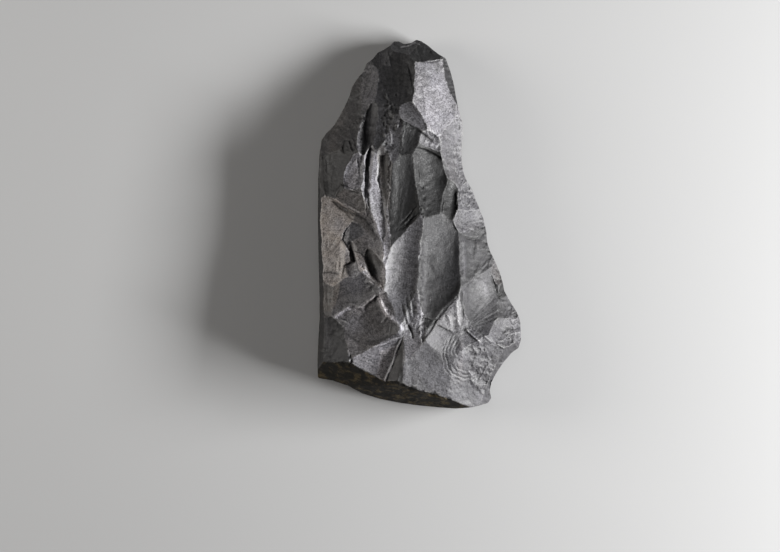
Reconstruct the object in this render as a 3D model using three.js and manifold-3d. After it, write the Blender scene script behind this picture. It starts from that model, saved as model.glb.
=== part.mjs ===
// A keilmesser: a backed knife knapped on both faces from dark siliceous slate, lying on its flatter face.
// Millimetres. +X runs from the thick back to the cutting edge, +Y from the base to the tip, +Z up.
// The origin is the middle of the stone's footprint, on the surface that it lies on.
import * as THREE from "three";
import { mergeVertices } from "three/addons/utils/BufferGeometryUtils.js";
import Module from "manifold-3d";

const wasm = await Module();
wasm.setup();

// Driving dimensions
const length = 111;
const width = 61;
const thickness = 24.5;

// The lists below were drawn at this size, and these scales carry them to the driving dimensions.
const drawn = { length: 111, width: 61, thickness: 24.55 };
const scaleX = width / drawn.width;
const scaleY = length / drawn.length;
const scaleZ = thickness / drawn.thickness;

// The outline seen from above, anticlockwise from the tip: x, y
const outline = [
  [-0.9, 55.5], [-2.6, 54.4], [-4.6, 54.1], [-6.2, 55.0], [-7.6, 55.0], [-8.6, 53.7], [-10.3, 52.6],
  [-12.6, 51.4], [-14.0, 49.6], [-16.0, 48.0], [-17.0, 45.4], [-18.9, 43.4], [-20.2, 41.2], [-21.0, 38.4],
  [-22.5, 35.0], [-24.1, 32.0], [-25.9, 29.0], [-28.1, 27.0], [-29.4, 25.0], [-29.9, 21.0], [-30.3, 12.0],
  [-30.4, 0.0], [-30.2, -10.0], [-29.9, -20.0], [-29.8, -28.0], [-30.3, -36.0], [-30.5, -41.0],
  [-30.5, -46.4], [-26.0, -47.1], [-21.5, -48.6], [-17.0, -51.2], [-12.0, -52.8], [-6.0, -54.0],
  [0.0, -54.8], [6.0, -55.3], [11.0, -55.5], [16.0, -54.9], [20.6, -53.9], [21.6, -52.4], [21.1, -50.0],
  [21.5, -47.6], [23.0, -44.8], [25.2, -41.6], [27.6, -38.9], [29.8, -37.4], [30.5, -35.2], [30.5, -32.0],
  [30.3, -29.0], [29.3, -26.6], [28.0, -24.6], [26.6, -22.2], [25.5, -20.2], [25.0, -17.6], [24.1, -14.4],
  [22.6, -11.2], [21.1, -8.2], [20.3, -5.4], [20.1, -2.6], [19.3, 1.4], [18.3, 4.0], [17.0, 7.0],
  [16.0, 10.0], [14.3, 12.6], [13.2, 15.4], [12.7, 19.0], [12.7, 24.0], [13.0, 27.4], [12.8, 30.6],
  [11.9, 33.6], [11.1, 37.6], [10.4, 42.0], [9.3, 46.2], [7.9, 49.9], [6.3, 50.7], [4.4, 52.2],
  [2.8, 53.6], [0.6, 55.0],
];

// Sections of the rough body, from tip to base: y, back x, back height, crest x, crest height, edge x,
// edge height, height of the underside's core
const sections = [
  [56, -9, 4.2, -4, 6, 4, 4.0, 2.4],
  [48, -16, 5.0, -5, 10.8, 8.5, 4.4, 0.8],
  [40, -20.5, 6.0, -4.5, 14.0, 10.8, 5.0, 0],
  [30, -25.5, 8.0, -5, 17.2, 13, 5.8, 0],
  [20, -30, 11.0, -8, 19.6, 12.8, 6.2, 0],
  [5, -30.4, 14.0, -9, 20.6, 17.5, 6.4, 0],
  [-15, -30, 15.5, -8, 22.8, 24, 6.6, 0],
  [-35, -30.2, 16.0, -6, 23.9, 30.5, 7.2, 0],
  [-56, -30.5, 16.0, -8, 21.0, 21, 8.0, 0.8],
];
const backPower = 2;
const edgePower = 2;
const underPower = 3;
const underRise = { back: 5, edge: 4.6 };

function sectionAt(y) {
  const first = sections.findIndex((row, i) => i > 0 && y >= row[0]);
  const i = first < 0 ? sections.length - 1 : first;
  const [above, below] = [sections[i - 1], sections[i]];
  const share = (above[0] - y) / (above[0] - below[0]);
  const [, backX, backZ, crestX, crestZ, edgeX, edgeZ, coreZ] = above.map((v, k) => v + (below[k] - v) * share);
  return { backX, backZ, crestX, crestZ, edgeX, edgeZ, coreZ };
}

function faceHeight(x, y) {
  const s = sectionAt(y);
  if (x < s.crestX) {
    return s.crestZ - (s.crestZ - s.backZ) * ((s.crestX - x) / (s.crestX - s.backX)) ** backPower;
  }
  return s.crestZ - (s.crestZ - s.edgeZ) * ((x - s.crestX) / (s.edgeX - s.crestX)) ** edgePower;
}

function underHeight(x, y) {
  const s = sectionAt(y);
  const middle = (s.backX + s.edgeX) / 2;
  const share = Math.abs(x - middle) / ((s.edgeX - s.backX) / 2);
  return s.coreZ + (x < middle ? underRise.back : underRise.edge) * share ** underPower;
}

// Flakes struck off the upper face: name, x, y, heading, half length, half width, dish, drop, tilt east,
// tilt north, and for a flake that broke off in a step, how far the step is from its middle, ahead of,
// behind, left or right of its heading, and how far the step leans out for each millimetre of its height.
// A scar lies along the rough body at x, y, lowered by its drop and turned by its tilts, and rises by its
// dish from its middle to its rim.
const faceFlakes = [
  ["tip cap", 1, 51.6, 90, 3.5, 6, 0.5, 0.5, -0.3, -0.35, { behind: 3 }],
  ["tip end", -4.5, 53.2, 90, 2, 5, 0.3, 1.3, 0, -0.7],
  ["tip right", 4.5, 38, 100, 13, 7, 0.5, 0.6, -0.05, 0],
  ["tip right edge", 9.3, 44.5, 105, 5, 1.6, 0.4, 0.3, -0.1, 0],
  ["tip middle", -7.5, 43, 95, 9, 5, 0.7, 0.9, 0.05, 0],
  ["tip left top", -11, 49.8, 80, 3.5, 2, 0.3, 0.2, 0, 0],
  ["tip left", -15.5, 41, 75, 6, 3.2, 0.3, 0, 0, 0],
  ["back upper", -23.5, 31, 60, 9, 5, 0.5, 0.4, 0, 0],
  ["back middle", -26.5, 14, 90, 11, 4, 0.5, 0.4, 0, 0],
  ["trough", -15, 28, 82, 6, 2, 1.2, 1.2, 0, 0],
  ["crest crush", -10.5, 29, 80, 4, 1.8, 0.5, 0.6, 0.1, 0],
  ["crest chip", -8.6, 23.5, 95, 3, 1.3, 0.5, 1.1, 0.1, 0],
  ["trough foot", -15.2, 15.5, 84, 7, 1.0, 0.9, 1.3, 0, 0],
  ["pyramid", -20.3, 13.8, 60, 3, 2, 0.5, 0.8, -0.5, 0],
  ["left ledge", -20.5, 6, 152, 6, 3, 0.4, 0.7, 0, 0.15, { behind: 5.5 }],
  ["tan face", -25.8, -6, 90, 9, 3.5, 0.4, 1.0, 0.05, 0, { behind: 10.3, lean: 0.6 }],
  ["tan arch", -24, -4, 58, 8, 7, 0.3, 1.6, 0, 0, { ahead: 8.3, lean: 0.6 }],
  ["left hollow", -17.5, -4.5, 15, 5, 5, 0.5, 1.8, 0, 0, { ahead: 5.2, lean: 0.5 }],
  ["left crevice", -14.2, -11.5, 112, 5.5, 1.7, 0.9, 2.0, 0, 0],
  ["left spall", -21.9, -9.5, 90, 4.5, 1.8, 0.6, 1.5, -0.4, 0],
  ["left plate", -20, -20.5, 20, 9, 6, 0.4, 1.0, 0, 0.05],
  ["left plate edge", -27, -22, 90, 5, 3, 0.4, 0.5, 0, 0],
  ["low hollow", -14.5, -29.5, 120, 7, 8, 0.6, 1.7, 0, 0, { ahead: 5.6, lean: 1 }],
  ["back lower", -26.5, -35, 80, 7, 4, 0.5, 0.7, 0, 0],
  ["low fan", -14, -40.5, -21, 7, 6, 0.6, 1.35, -0.15, 0.1, { ahead: 5.4, lean: 2.2 }],
  ["great flat", 3, -43, 90, 12, 9, 0.4, 0.65, -0.05, 0.08],
  ["rippled", 15, -43, 90, 9, 7, 0.4, 0.8, 0, 0.08],
  ["notch", 24, -43.3, 57, 6, 2.5, 0.3, 0.8, -0.7, 0.45],
  ["low edge", 19.8, -50.8, 100, 3.5, 2, 0.3, 0.7, -0.8, 0.2],
  ["long left", -5, -15, 80, 17, 4.8, 0.9, 1.4, -0.05, 0],
  ["long foot", -2.0, -29, 82, 6.5, 1.5, 0.5, 1.2, 0.05, 0],
  ["long right", 6, -12, 77, 17, 6, 0.9, 1.6, -0.02, 0.03],
  ["long edge", 16, -9, 80, 8, 4, 0.6, 0.9, 0, 0],
  ["upper left", -4.6, 9, 80, 12, 4.4, 0.9, 1.4, 0.05, 0],
  ["upper right", 5, 12, 100, 8, 4.2, 0.9, 1.5, 0, 0],
  ["upper ring", -3, 24, 60, 4, 3.2, 0.6, 1.0, 0, 0],
  ["band", -2, 31, 140, 6, 1.8, 0.5, 0.7, 0, 0],
  ["hook", 2.8, 24, 150, 2.6, 1.8, 0.5, 0.9, 0, 0],
  ["edge upper", 10.6, 17, 95, 5.5, 3, 0.6, 0.5, 0, 0],
  ["leaf", 9, 6.5, 82, 5, 1.7, 0.8, 1.2, 0, 0],
  ["edge rough", 14.5, 7.5, 80, 3, 2.2, 0.4, 0.5, 0, 0],
  ["edge shell", 14.8, 0.2, 10, 4.4, 3, 0.8, 1.0, 0, 0],
  ["edge plate", 18.5, -22, 60, 9, 4.8, 0.5, 1.1, 0, 0.05],
  ["edge fan", 9, -28.5, 52, 7, 4, 0.4, 0.9, -0.1, 0.2],
  ["corner shell", 26.3, -25, 60, 3, 2.8, 0.6, 0.9, 0, 0],
  ["edge nibble 1", 23.2, -15.5, 70, 3.5, 1.6, 0.5, 0.7, 0, 0],
  ["edge nibble 2", 25.2, -20.8, 60, 2.5, 1.5, 0.5, 0.7, 0, 0],
  ["corner", 27, -32.5, 20, 4, 3.4, 0.5, 0.8, 0, 0],
  ["crest band", -12.8, 8, 98, 10, 2.6, 0.6, 1.1, 0, 0],
  ["crest sliver", -10.4, 13, 92, 8, 1.4, 0.4, 1.1, 0, 0],
];

// The steep surfaces of the base and the back: name, x, y, height, heading, half length, half width, dish,
// slope east, slope north
const sideFlakes = [
  ["base left", -25, -42, 17.7, 158, 12, 8, 0.3, 0.7, 1.7],
  ["base middle", -7, -48.0, 20.5, 166, 16, 9, 0.3, 0.65, 2.9],
  ["base right", 9, -52.4, 16.5, 160, 12, 8, 0.3, 0.57, 3.0],
  ["back wall", -29.2, 0, 14.5, 90, 30, 8, 0.3, 2.6, 0],
  ["back shoulder", -29.0, 22, 12, 80, 10, 6, 0.3, 2.0, -0.3],
];

// Flakes struck off the underside, in the same terms as those of the upper face
const underFlakes = [
  ["under tip", -2, 50, 100, 7, 5, 0.3, 0.2, 0, 0],
  ["under tip back", -14, 41, 55, 8, 5, 0.5, 0.4, 0, 0],
  ["under tip edge", 6, 39, 115, 8, 4.5, 0.4, 0.3, 0, 0],
  ["under back 1", -22, 29, 30, 6, 4, 0.5, 0.3, 0, 0],
  ["under back 2", -23, 17, 5, 9, 6, 0.6, 0.5, 0, 0],
  ["under back 3", -26, 5, -10, 4.5, 4, 0.4, 0.3, 0, 0],
  ["under back 4", -24, -8, 12, 8, 6.5, 0.6, 0.5, 0, 0],
  ["under back 5", -26, -21, -5, 5, 4.5, 0.5, 0.3, 0, 0],
  ["under back 6", -23, -35, 15, 9, 7, 0.6, 0.5, 0, 0],
  ["under back 7", -25, -45, -40, 5, 4, 0.5, 0.3, 0, 0],
  ["under edge 1", 9, 27, 165, 5, 5, 0.4, 0.3, 0, 0],
  ["under edge 2", 9.5, 14, 175, 8, 6, 0.6, 0.5, 0, 0],
  ["under edge 3", 15, 2, 155, 4.5, 4.5, 0.4, 0.3, 0, 0],
  ["under edge 4", 16.5, -10, 165, 8, 6, 0.6, 0.5, 0, 0],
  ["under edge 5", 22.5, -20, 150, 5, 5, 0.5, 0.3, 0, 0],
  ["under edge 6", 23, -32, 178, 9, 6.5, 0.6, 0.5, 0, 0],
  ["under edge 7", 19, -45, 200, 6, 6, 0.5, 0.3, 0, 0],
  ["under base", -5, -51, 262, 5, 9, 0.3, 0.2, 0, -0.08],
];

// Retouch: small flakes struck off the underside one beside the other along the cutting edge, which thin it
const edgeStart = [30.5, -35.2];
const edgeEnd = [7.9, 49.9];
const retouch = { spacing: 6, inset: 1.6, halfLength: 2.4, halfWidth: 3.6, dish: 0.5, slope: 0.9, edgeThickness: 1.4 };

const overshoot = 30; // how far a cutter stands clear of the stone
const spread = 3; // a cutter's reach, in half lengths and half widths of its scar
const coarsestCell = 4.5;
const cellsAcross = 4; // the cells over a scar's width
const cellsAlong = 5; // the cells over a scar's length
const steepLean = 0.35; // how far a plain step leans out for each millimetre of its height

function solidOf(geometry) {
  const bare = geometry.clone();
  bare.deleteAttribute("normal");
  bare.deleteAttribute("uv");
  const merged = mergeVertices(bare, 1e-4);
  return new wasm.Manifold(
    new wasm.Mesh({
      numProp: 3,
      vertProperties: merged.attributes.position.array,
      triVerts: new Uint32Array(merged.index.array),
    }),
  );
}

function geometryOf(solid) {
  const mesh = solid.getMesh();
  const geometry = new THREE.BufferGeometry();
  geometry.setAttribute("position", new THREE.BufferAttribute(new Float32Array(mesh.vertProperties), 3));
  geometry.setIndex(new THREE.BufferAttribute(new Uint32Array(mesh.triVerts), 1));
  geometry.computeVertexNormals();
  return geometry;
}

// A flake's cutter: a box whose near face is the scar. side is 1 above the stone and -1 below it.
function cutter({ x, y, height, heading, halfLength, halfWidth, dish, slopeEast, slopeNorth, side, step }) {
  const reachU = halfLength * spread;
  const reachV = halfWidth * spread;
  const [ahead, behind] = [step.ahead ?? reachU, step.behind ?? reachU];
  const [left, right] = [step.left ?? reachV, step.right ?? reachV];
  const stepsU = Math.ceil((ahead + behind) / Math.min(coarsestCell, (2 * halfLength) / cellsAlong));
  const stepsV = Math.ceil((left + right) / Math.min(coarsestCell, (2 * halfWidth) / cellsAcross));
  const box = new THREE.BoxGeometry(ahead + behind, left + right, 1, stepsU, stepsV, 1);
  const position = box.attributes.position;
  const angle = THREE.MathUtils.degToRad(heading);
  const [cos, sin] = [Math.cos(angle), Math.sin(angle)];
  const lean = step.lean ?? steepLean;
  for (let i = 0; i < position.count; i += 1) {
    const u = position.getX(i) + (ahead - behind) / 2;
    const v = position.getY(i) + (left - right) / 2;
    const [dx, dy] = [u * cos - v * sin, u * sin + v * cos];
    const rim = dish * ((u / halfLength) ** 2 + (v / halfWidth) ** 2);
    const scar = height + slopeEast * dx + slopeNorth * dy + side * rim;
    if (position.getZ(i) * side < 0) {
      position.setXYZ(i, (x + dx) * scaleX, (y + dy) * scaleY, scar * scaleZ);
    } else {
      const far = side > 0 ? Math.max(scar, drawn.thickness) + overshoot : Math.min(scar, 0) - overshoot;
      const out = lean * Math.abs(far - scar);
      const farU = u * (1 + out / (u > 0 ? ahead : behind));
      const farV = v * (1 + out / (v > 0 ? left : right));
      const [farX, farY] = [x + farU * cos - farV * sin, y + farU * sin + farV * cos];
      position.setXYZ(i, farX * scaleX, farY * scaleY, far * scaleZ);
    }
  }
  return solidOf(box);
}

// A scar that follows the rough body, whose height is given by a function of x and y
function followingCutter(flake, body, side) {
  const [, x, y, heading, halfLength, halfWidth, dish, drop, tiltEast, tiltNorth, step = {}] = flake;
  const span = 1.5;
  const slopeEast = (body(x + span, y) - body(x - span, y)) / (2 * span) + tiltEast;
  const slopeNorth = (body(x, y + span) - body(x, y - span)) / (2 * span) + tiltNorth;
  const height = body(x, y) - side * drop;
  return cutter({ x, y, height, heading, halfLength, halfWidth, dish, slopeEast, slopeNorth, side, step });
}

function sideCutter([, x, y, height, heading, halfLength, halfWidth, dish, slopeEast, slopeNorth]) {
  const step = {};
  return cutter({ x, y, height, heading, halfLength, halfWidth, dish, slopeEast, slopeNorth, side: 1, step });
}

// The places of the retouch along the cutting edge, with the direction that leads out of the stone
function retouchPlaces() {
  const gap = ([x, y], [x2, y2]) => Math.hypot(x - x2, y - y2);
  const nearest = (place) => outline.reduce((best, p, i) => (gap(p, place) < gap(outline[best], place) ? i : best), 0);
  const run = outline.slice(nearest(edgeStart), nearest(edgeEnd) + 1);
  const curve = new THREE.CurvePath();
  run.slice(1).forEach(([x, y], i) => {
    curve.add(new THREE.LineCurve(new THREE.Vector2(...run[i]), new THREE.Vector2(x, y)));
  });
  const count = Math.round(curve.getLength() / retouch.spacing);
  return Array.from({ length: count }, (_, i) => {
    const share = (i + 0.5) / count;
    const along = curve.getPointAt(Math.min(share + 0.02, 1)).sub(curve.getPointAt(Math.max(share - 0.02, 0)));
    const out = new THREE.Vector2(along.y, -along.x).normalize();
    return { rim: curve.getPointAt(share), out };
  });
}

function retouchCutter({ rim, out }) {
  const { inset, halfLength, halfWidth, dish, slope, edgeThickness } = retouch;
  const [x, y] = [rim.x - out.x * inset, rim.y - out.y * inset];
  const height = faceHeight(rim.x, rim.y) - edgeThickness - slope * inset;
  const heading = THREE.MathUtils.radToDeg(Math.atan2(-out.y, -out.x));
  const [slopeEast, slopeNorth] = [out.x * slope, out.y * slope];
  return cutter({ x, y, height, heading, halfLength, halfWidth, dish, slopeEast, slopeNorth, side: -1, step: {} });
}

function blank() {
  const shape = new THREE.Shape(outline.map(([x, y]) => new THREE.Vector2(x * scaleX, y * scaleY)));
  return solidOf(new THREE.ExtrudeGeometry(shape, { depth: thickness + 4, bevelEnabled: false }));
}

function knappedStone() {
  const cutters = [
    ...faceFlakes.map((flake) => followingCutter(flake, faceHeight, 1)),
    ...sideFlakes.map((flake) => sideCutter(flake)),
    ...underFlakes.map((flake) => followingCutter(flake, underHeight, -1)),
    ...retouchPlaces().map((place) => retouchCutter(place)),
  ];
  return cutters.reduce((stone, flake) => stone.subtract(flake), blank());
}

const slate = new THREE.MeshStandardMaterial({ color: 0x4a4947, roughness: 0.55, metalness: 0 });
const stone = new THREE.Mesh(geometryOf(knappedStone()), slate);
stone.name = "knapped_stone";

const keilmesser = new THREE.Group();
keilmesser.add(stone);

export default keilmesser;
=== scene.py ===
# A backed knife of dark siliceous slate, knapped on both faces, lying on its flatter face.
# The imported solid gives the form. Here it is cut up finely and its flake scars are worked over:
# ripples, hackles, stepped lips, crushed ridges, and the colours that time left on each scar.
import itertools
import math
import time
from types import SimpleNamespace

import bmesh
import bpy
import numpy as np
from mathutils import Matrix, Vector


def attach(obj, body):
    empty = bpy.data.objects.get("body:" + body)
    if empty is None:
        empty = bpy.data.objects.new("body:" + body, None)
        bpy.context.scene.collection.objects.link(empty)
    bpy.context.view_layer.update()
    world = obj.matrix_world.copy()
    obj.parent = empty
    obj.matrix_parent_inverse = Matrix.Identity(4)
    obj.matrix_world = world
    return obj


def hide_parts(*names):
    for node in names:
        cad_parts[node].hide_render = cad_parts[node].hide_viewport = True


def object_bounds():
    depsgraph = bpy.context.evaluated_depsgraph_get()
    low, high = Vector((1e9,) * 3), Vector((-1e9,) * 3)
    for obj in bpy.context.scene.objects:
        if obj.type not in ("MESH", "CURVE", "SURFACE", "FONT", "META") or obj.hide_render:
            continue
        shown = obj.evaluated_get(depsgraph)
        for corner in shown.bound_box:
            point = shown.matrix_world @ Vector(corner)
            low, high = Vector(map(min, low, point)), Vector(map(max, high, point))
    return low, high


started = time.time()
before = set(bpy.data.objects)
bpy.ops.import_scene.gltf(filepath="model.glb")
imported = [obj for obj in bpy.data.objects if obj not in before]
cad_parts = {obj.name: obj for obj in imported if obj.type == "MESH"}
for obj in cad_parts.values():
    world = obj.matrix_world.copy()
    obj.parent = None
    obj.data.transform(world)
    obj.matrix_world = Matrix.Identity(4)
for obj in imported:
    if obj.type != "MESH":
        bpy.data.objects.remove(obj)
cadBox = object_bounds()


def report(stage):
    print(f"{stage}: {time.time() - started:.1f} s")


stoneValues = {
    "voxel": 0.00027,  # metres, the size of the cells that the solid is cut into
    "quickVoxel": 0.0005,
    "triangles": 190000,
    # a point is worked where it lies this near a face's scars, in millimetres, and turns this far to it
    "faceNear": (2.4, 1.6),
    "faceTurn": (0.06, 0.22),
    "restingRelief": 0.3,  # the share of the relief that the flat it rests on keeps
    # the low relief, in millimetres
    "borderWander": 0.32,  # how far the ridges stray from a clean line
    "wanderSize": 2.6,
    "swell": 0.1,
    "ripple": 0.035,
    "rippleSpacing": 2.1,
    "hackle": 0.05,
    "strokeWander": 0.22,
    "strokeFade": 0.14,  # the share of a stroke's length over which each end fades
    "facetWander": 0.3,
    "facetSoftness": 0.22,
    "patchWander": 0.8,
    "ridgeCrush": 0.22,
    "ridgeWidth": 0.55,
    "grain": 0.035,
    "grainSize": 1.5,
    # the chips
    "chipSeed": 7,
    "chipLean": 0.26,
    "chipSink": (0.5, 1.3),  # shares of the depth that a run of chips gives
    "chipSteepest": 1.2,
    "chipCore": 1.2,  # in radii: the points that give a chip its plane, and those that it may cut
    "chipReach": 1.9,
    "fewestPoints": 8,
    # what the material reads
    "palest": 3.2,  # the most that painted light, with some dust, may lighten the slate
    "ridgeRange": 0.12,  # from the sharpest hollow line to the sharpest ridge
    "warm": 0.1,  # the brown patina of a scar that names none
}

# Where each use of the noise starts
seeds = dict(
    wander=301, scar=500, strokeLine=900, strokeDepth=950, arc=1001, crushEast=1100, crushNorth=1130,
    coarseCrumbs=1160, fineCrumbs=1190, ridge=1201, skin=1301, facet=1401, patch=1501, wall=1601,
)

scene = bpy.context.scene
mm = 1000.0

# Sections of the rough body, from tip to base, in millimetres: y, back x, back height, crest x,
# crest height, edge x, edge height, height of the underside's core
sections = np.array([
    [56, -9, 4.2, -4, 6, 4, 4.0, 2.4],
    [48, -16, 5.0, -5, 10.8, 8.5, 4.4, 0.8],
    [40, -20.5, 6.0, -4.5, 14.0, 10.8, 5.0, 0],
    [30, -25.5, 8.0, -5, 17.2, 13, 5.8, 0],
    [20, -30, 11.0, -8, 19.6, 12.8, 6.2, 0],
    [5, -30.4, 14.0, -9, 20.6, 17.5, 6.4, 0],
    [-15, -30, 15.5, -8, 22.8, 24, 6.6, 0],
    [-35, -30.2, 16.0, -6, 23.9, 30.5, 7.2, 0],
    [-56, -30.5, 16.0, -8, 21.0, 21, 8.0, 0.8],
])[::-1]

# Scars of the upper face: name, x, y, heading, half length, half width, dish, drop, tilt east, tilt north,
# how pale it is, which is partly painted light and shade that makes a scar paler or darker as it would be
# lit, and what is special to one. turnEast adds to the tilt and deep to the dish and the drop that the
# imported solid has. ahead and behind say where a scar stops short, and lean how flat the wall there is. calm
# weakens its relief, ripple is the height of its ripples, and struck is how far along its heading the blow
# fell. warm is how brown it is, and cortex marks the old rind.
faceFlakes = [
    ("tip cap", 1, 51.6, 90, 3.5, 6, 0.5, 0.5, -0.3, -0.35, 0.05, dict(behind=3, turnEast=0.15)),
    ("tip end", -4.5, 53.2, 90, 2, 5, 0.3, 1.3, 0, -0.7, 0.45),
    ("tip right", 4.5, 38, 100, 13, 7, 0.5, 0.6, -0.05, 0, 1.7, dict(ripple=0.01, calm=0.35)),
    ("tip right edge", 9.3, 44.5, 105, 5, 1.6, 0.4, 0.3, -0.1, 0, 0.2),
    ("tip middle", -7.5, 43, 95, 9, 5, 0.7, 0.9, 0.05, 0, 0.25),
    ("tip left top", -11, 49.8, 80, 3.5, 2, 0.3, 0.2, 0, 0, 0.3),
    ("tip left", -15.5, 41, 75, 6, 3.2, 0.3, 0, 0, 0, 0.6),
    ("back upper", -23.5, 31, 60, 9, 5, 0.5, 0.4, 0, 0, 0.3, dict(warm=0.4)),
    ("back middle", -26.5, 14, 90, 11, 4, 0.5, 0.4, 0, 0, 0.14, dict(warm=0.5)),
    ("trough", -15, 28, 82, 6, 2, 1.2, 1.2, 0, 0, 0.42),
    ("crest crush", -10.5, 29, 80, 4, 1.8, 0.5, 0.6, 0.1, 0, 0.4, dict(deep=-0.2)),
    ("crest chip", -8.6, 23.5, 95, 3, 1.3, 0.5, 1.1, 0.1, 0, 0.7, dict(deep=-0.35, turnEast=-0.3)),
    ("trough foot", -15.2, 15.5, 84, 7, 1.0, 0.9, 1.3, 0, 0, 1.4),
    ("pyramid", -20.3, 13.8, 60, 3, 2, 0.5, 0.8, -0.5, 0, 1.7, dict(turnEast=0.3)),
    ("left ledge", -20.5, 6, 152, 6, 3, 0.4, 0.7, 0, 0.15, 0.8, dict(behind=5.5, warm=0.6)),
    ("tan face", -25.8, -6, 90, 9, 3.5, 0.4, 1.0, 0.05, 0, 2.2, dict(behind=10.3, lean=0.6, warm=0.9)),
    ("tan arch", -24, -4, 58, 8, 7, 0.3, 1.6, 0, 0, 2.2, dict(ahead=8.3, lean=0.6, warm=0.9)),
    ("left hollow", -17.5, -4.5, 15, 5, 5, 0.5, 1.8, 0, 0, 1.35, dict(ahead=5.2, lean=0.5, warm=0.4)),
    ("left crevice", -14.2, -11.5, 112, 5.5, 1.7, 0.9, 2.0, 0, 0, 0.6, dict(warm=0.6)),
    ("left spall", -21.9, -9.5, 90, 4.5, 1.8, 0.6, 1.5, -0.4, 0, 1.6, dict(turnEast=-0.3, warm=0.5)),
    ("left plate", -20, -20.5, 20, 9, 6, 0.4, 1.0, 0, 0.05, 1.05, dict(deep=0.3, warm=0.2)),
    ("left plate edge", -27, -22, 90, 5, 3, 0.4, 0.5, 0, 0, 0.5, dict(warm=0.6)),
    ("low hollow", -14.5, -29.5, 120, 7, 8, 0.6, 1.7, 0, 0, 0.85,
     dict(deep=0.6, ahead=5.6, lean=1, warm=0.4)),
    ("back lower", -26.5, -35, 80, 7, 4, 0.5, 0.7, 0, 0, 0.2),
    ("low fan", -14, -40.5, -21, 7, 6, 0.6, 1.35, -0.15, 0.1, 1.9,
     dict(turnEast=-0.15, ahead=5.9, lean=0.9)),
    ("great flat", 3, -43, 90, 12, 9, 0.4, 0.65, -0.05, 0.08, 0.8, dict(ripple=0.01, calm=0.2)),
    ("rippled", 15, -43, 90, 9, 7, 0.4, 0.8, 0, 0.08, 0.8, dict(ripple=0.02)),
    ("notch", 24, -43.3, 57, 6, 2.5, 0.3, 0.8, -0.7, 0.45, 0.6),
    ("low edge", 19.8, -50.8, 100, 3.5, 2, 0.3, 0.7, -0.8, 0.2, 0.55),
    ("long left", -5, -15, 80, 17, 4.8, 0.9, 1.4, -0.05, 0, 0.9, dict(deep=0.65, struck=-26)),
    ("long foot", -2.0, -29, 82, 6.5, 1.5, 0.5, 1.2, 0.05, 0, 1.6, dict(deep=-0.35)),
    ("long right", 6, -12, 77, 17, 6, 0.9, 1.6, -0.02, 0.03, 0.2,
     dict(deep=0.85, turnEast=0.1, struck=-28, calm=0.6)),
    ("long edge", 16, -9, 80, 8, 4, 0.6, 0.9, 0, 0, 0.3),
    ("upper left", -4.6, 9, 80, 12, 4.4, 0.9, 1.4, 0.05, 0, 0.05, dict(deep=0.3)),
    ("upper right", 5, 12, 100, 8, 4.2, 0.9, 1.5, 0, 0, 0.03, dict(deep=0.4, turnEast=0.38, calm=0.5)),
    ("upper ring", -3, 24, 60, 4, 3.2, 0.6, 1.0, 0, 0, 0.04, dict(turnEast=0.12)),
    ("band", -2, 31, 140, 6, 1.8, 0.5, 0.7, 0, 0, 0.75),
    ("hook", 2.8, 24, 150, 2.6, 1.8, 0.5, 0.9, 0, 0, 1.0),
    ("edge upper", 10.6, 17, 95, 5.5, 3, 0.6, 0.5, 0, 0, 1.0),
    ("leaf", 9, 6.5, 82, 5, 1.7, 0.8, 1.2, 0, 0, 0.02, dict(calm=0.4, warm=0.6)),
    ("edge rough", 14.5, 7.5, 80, 3, 2.2, 0.4, 0.5, 0, 0, 0.9),
    ("edge shell", 14.8, 0.2, 10, 4.4, 3, 0.8, 1.0, 0, 0, 0.9),
    ("edge plate", 18.5, -22, 60, 9, 4.8, 0.5, 1.1, 0, 0.05, 0.42, dict(deep=0.6)),
    ("edge fan", 9, -28.5, 52, 7, 4, 0.4, 0.9, -0.1, 0.2, 1.0, dict(ripple=0.06)),
    ("corner shell", 26.3, -25, 60, 3, 2.8, 0.6, 0.9, 0, 0, 0.4),
    ("edge nibble 1", 23.2, -15.5, 70, 3.5, 1.6, 0.5, 0.7, 0, 0, 0.6, dict(warm=0.3)),
    ("edge nibble 2", 25.2, -20.8, 60, 2.5, 1.5, 0.5, 0.7, 0, 0, 0.02, dict(warm=0.6)),
    ("corner", 27, -32.5, 20, 4, 3.4, 0.5, 0.8, 0, 0, 0.72),
    ("crest band", -12.8, 8, 98, 10, 2.6, 0.6, 1.1, 0, 0, 1.4, dict(turnEast=-0.1)),
    ("crest sliver", -10.4, 13, 92, 8, 1.4, 0.4, 1.1, 0, 0, 0.5, dict(warm=0.6)),
]

# The steep sides, whose drop is their height instead
sideFlakes = [
    ("base left", -25, -42, 158, 12, 8, 0.3, 17.7, 0.7, 1.7, 1.0, dict(cortex=1)),
    ("base middle", -7, -48.0, 166, 16, 9, 0.3, 20.5, 0.65, 2.9, 1.0, dict(cortex=1)),
    ("base right", 9, -52.4, 160, 12, 8, 0.3, 16.5, 0.57, 3.0, 1.0, dict(cortex=1)),
    ("back wall", -29.2, 0, 90, 30, 8, 0.3, 14.5, 2.6, 0, 0.1, dict(warm=0.5)),
    ("back shoulder", -29.0, 22, 80, 10, 6, 0.3, 12, 2.0, -0.3, 0.2, dict(warm=0.5)),
]

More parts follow.
